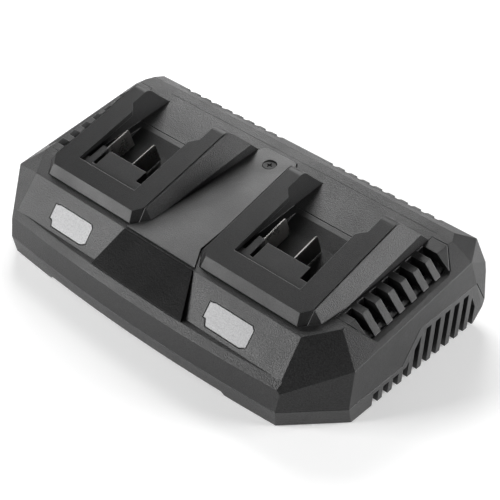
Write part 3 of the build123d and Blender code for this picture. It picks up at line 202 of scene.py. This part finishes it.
# frosted status windows: pale, with the mottle of a rough moulded back
frostedGlass = {
    "dark": (0.14, 0.14, 0.145), "pale": (0.27, 0.27, 0.275), "darkUpTo": 0.36, "paleFrom": 0.60,
    "rim": (0.008, 0.008, 0.008), "rimWidth": 0.0007, "rimFrom": 0.998, "rimTo": 0.93,
    "rough": (0.30, 0.50), "mottle": 1100.0, "depth": 0.6, "height": 0.0002,
}


def frostedMaterial(name):
    values = frostedGlass
    material, tree, shader = newMaterial(name)
    link = tree.links.new
    place = addNode(tree, "ShaderNodeTexCoord")
    mottle = addNode(tree, "ShaderNodeTexNoise", Scale=values["mottle"], Detail=5.0, Roughness=0.7)
    colour = colourRamp(tree, values["dark"], values["pale"], values["darkUpTo"], values["paleFrom"])
    rough = mapRange(tree, *noiseSpan, *values["rough"])
    bump = addNode(tree, "ShaderNodeBump", Strength=values["depth"], Distance=values["height"])
    link(place.outputs["Object"], mottle.inputs["Vector"])
    link(mottle.outputs["Fac"], colour.inputs["Fac"])
    link(mottle.outputs["Fac"], rough.inputs["Value"])
    link(mottle.outputs["Fac"], bump.inputs["Height"])
    # painted shade: a dark rim is painted along the window's edge, where the moulded edge turns down into
    # the seat
    geometry = addNode(tree, "ShaderNodeNewGeometry")
    rounded = addNode(tree, "ShaderNodeBevel", samples=8, Radius=values["rimWidth"])
    spread = addNode(tree, "ShaderNodeVectorMath", operation="DOT_PRODUCT")
    rimShadeMask = mapRange(tree, values["rimFrom"], values["rimTo"], 0.0, 1.0)
    tint = addNode(tree, "ShaderNodeMix", data_type="RGBA")
    tint.inputs[7].default_value = (*values["rim"], 1)
    link(geometry.outputs["True Normal"], spread.inputs[0])
    link(rounded.outputs["Normal"], spread.inputs[1])
    link(spread.outputs["Value"], rimShadeMask.inputs["Value"])
    link(rimShadeMask.outputs["Result"], tint.inputs[0])
    link(colour.outputs["Color"], tint.inputs[6])
    link(tint.outputs[2], shader.inputs["Base Color"])
    link(rough.outputs["Result"], shader.inputs["Roughness"])
    link(bump.outputs["Normal"], shader.inputs["Normal"])
    return material


finishes = {
    "casing_plastic": texturedPlastic("casingPlastic", "casing"),
    "base_plastic": texturedPlastic("basePlastic", "base"),
    "dock_plastic": texturedPlastic("dockPlastic", "dock"),
    "terminal_plastic": texturedPlastic("terminalPlastic", "terminal"),
    "plate_plastic": texturedPlastic("platePlastic", "plate"),
    "louvre_plastic": texturedPlastic("louvrePlastic", "louvre"),
    "centre_plastic": texturedPlastic("centrePlastic", "centre"),
    "contact_metal": simpleMaterial("contactMetal", (0.55, 0.54, 0.52),
                                    (0.64, 0.63, 0.61), 0.30, 1.0, 120.0, 0.02),
    "frosted_window": frostedMaterial("frostedWindow"),
    "led_lens": simpleMaterial("ledLens", (0.7, 0.7, 0.65), (0.9, 0.9, 0.85), 0.2),
    "circuit_board": simpleMaterial("circuitBoard", (0.01, 0.06, 0.025), (0.02, 0.10, 0.04), 0.35),
    "ferrite": simpleMaterial("ferrite", (0.02, 0.02, 0.022), (0.05, 0.05, 0.055), 0.7),
    "winding_tape": simpleMaterial("windingTape", (0.5, 0.36, 0.05), (0.6, 0.45, 0.08), 0.3),
    "copper_winding": simpleMaterial("copperWinding", (0.5, 0.2, 0.08), (0.7, 0.32, 0.14), 0.3, 1.0),
    "capacitor_sleeve": simpleMaterial("capacitorSleeve", (0.01, 0.012, 0.03), (0.02, 0.025, 0.05), 0.3),
    "aluminium_sink": simpleMaterial("aluminiumSink", (0.6, 0.6, 0.61), (0.7, 0.7, 0.71), 0.35, 1.0),
    "component_black": simpleMaterial("componentBlack", (0.012, 0.012, 0.012), (0.03, 0.03, 0.03), 0.5),
    "fuse_body": simpleMaterial("fuseBody", (0.5, 0.49, 0.45), (0.6, 0.59, 0.55), 0.4),
    "fan_plastic": simpleMaterial("fanPlastic", (0.012, 0.012, 0.012), (0.03, 0.03, 0.03), 0.45),
    "foot_rubber": simpleMaterial("footRubber", (0.015, 0.015, 0.015),
                                  (0.03, 0.03, 0.03), 0.8, 0.0, 900.0, 0.4),
    "gland_rubber": simpleMaterial("glandRubber", (0.015, 0.015, 0.015),
                                   (0.03, 0.03, 0.03), 0.75, 0.0, 900.0, 0.4),
    "screw_steel": simpleMaterial("screwSteel", (0.012, 0.012, 0.012),
                                  (0.025, 0.025, 0.025), 0.52, 1.0, 300.0, 0.05),
}
for name, node in nodes.items():
    node.data.materials.clear()
    node.data.materials.append(finishes[slotOf[name]])
print("materials assigned")


# dark strip across the rear of the deck, painting the shade of a fine groove there, in metres
deckGrooveShade = {
    "left": -0.087, "right": 0.100, "y": 0.04935, "width": 0.0004,
    "level": 0.054095, "fall": 0.11,  # the deck's height there and its fall towards the front
    "stand": 0.00005, "sunk": 0.0004,
}


def makeDeckGrooveShade():
    values = deckGrooveShade
    verts = []
    for x in (values["left"], values["right"]):
        for across in (-values["width"] / 2, values["width"] / 2):
            deck = values["level"] + across * values["fall"]
            for z in (deck - values["sunk"], deck + values["stand"]):
                verts.append((x, values["y"] + across, z))
    mesh = bpy.data.meshes.new("deckGrooveShade")
    sides = [(0, 1, 3, 2), (4, 6, 7, 5), (0, 4, 5, 1), (2, 3, 7, 6), (1, 5, 7, 3), (0, 2, 6, 4)]
    mesh.from_pydata(verts, [], sides)
    mesh.materials.append(simpleMaterial("seamShadow", (0.002, 0.002, 0.002), (0.005, 0.005, 0.005), 0.6))
    line = bpy.data.objects.new("deck_line", mesh)
    scene.collection.objects.link(line)
    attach(line, "casing")


makeDeckGrooveShade()
print("deck line made")


# light and floor
floorValues = {"half": 3.0, "colour": (0.88, 0.88, 0.88), "rough": 0.9, "lift": 0.26}


def makeFloor():
    mesh = bpy.data.meshes.new("floor")
    half = floorValues["half"]
    corners = [(-half, -half, 0), (half, -half, 0), (half, half, 0), (-half, half, 0)]
    mesh.from_pydata(corners, [], [(0, 1, 2, 3)])
    floor = bpy.data.objects.new("floor", mesh)
    scene.collection.objects.link(floor)
    material, tree, shader = newMaterial("paleFloor")
    shader.inputs["Base Color"].default_value = (*floorValues["colour"], 1)
    shader.inputs["Roughness"].default_value = floorValues["rough"]
    shader.inputs["Emission Color"].default_value = (1, 1, 1, 1)
    path = addNode(tree, "ShaderNodeLightPath")
    mirrored = addNode(tree, "ShaderNodeMath", operation="MAXIMUM")
    direct = addNode(tree, "ShaderNodeMath", operation="MAXIMUM")
    seen = addNode(tree, "ShaderNodeMath", operation="MULTIPLY")
    seen.inputs[1].default_value = floorValues["lift"]
    tree.links.new(path.outputs["Is Glossy Ray"], mirrored.inputs[0])
    tree.links.new(path.outputs["Is Transmission Ray"], mirrored.inputs[1])
    tree.links.new(path.outputs["Is Camera Ray"], direct.inputs[0])
    tree.links.new(mirrored.outputs["Value"], direct.inputs[1])
    tree.links.new(direct.outputs["Value"], seen.inputs[0])
    tree.links.new(seen.outputs["Value"], shader.inputs["Emission Strength"])
    mesh.materials.append(material)


lamps = {
    "frontLeft": {"place": (-0.82, -1.08, 0.42), "size": 0.65, "power": 26.0},
    "backLeft": {"place": (-0.75, 0.78, 0.80), "size": 0.65, "power": 13.5},
    "rightBack": {"place": (0.95, 0.66, 0.20), "size": 0.6, "power": 22.0},
}
lampAim = (0, 0, 0.03)
worldStrength = 0.12


def makeLamps():
    for name, values in lamps.items():
        data = bpy.data.lights.new(name, "AREA")
        data.shape = "SQUARE"
        data.size = values["size"]
        data.energy = values["power"]
        lamp = bpy.data.objects.new(name, data)
        scene.collection.objects.link(lamp)
        lamp.location = values["place"]
        aim = Vector(lampAim) - Vector(values["place"])
        lamp.rotation_euler = aim.to_track_quat("-Z", "Y").to_euler()
    world = bpy.data.worlds.new("studio")
    world.use_nodes = True
    world.node_tree.nodes["Background"].inputs["Color"].default_value = (1, 1, 1, 1)
    world.node_tree.nodes["Background"].inputs["Strength"].default_value = worldStrength
    scene.world = world


makeFloor()
makeLamps()
scene.view_settings.view_transform = "Standard"
print("floor and light placed")
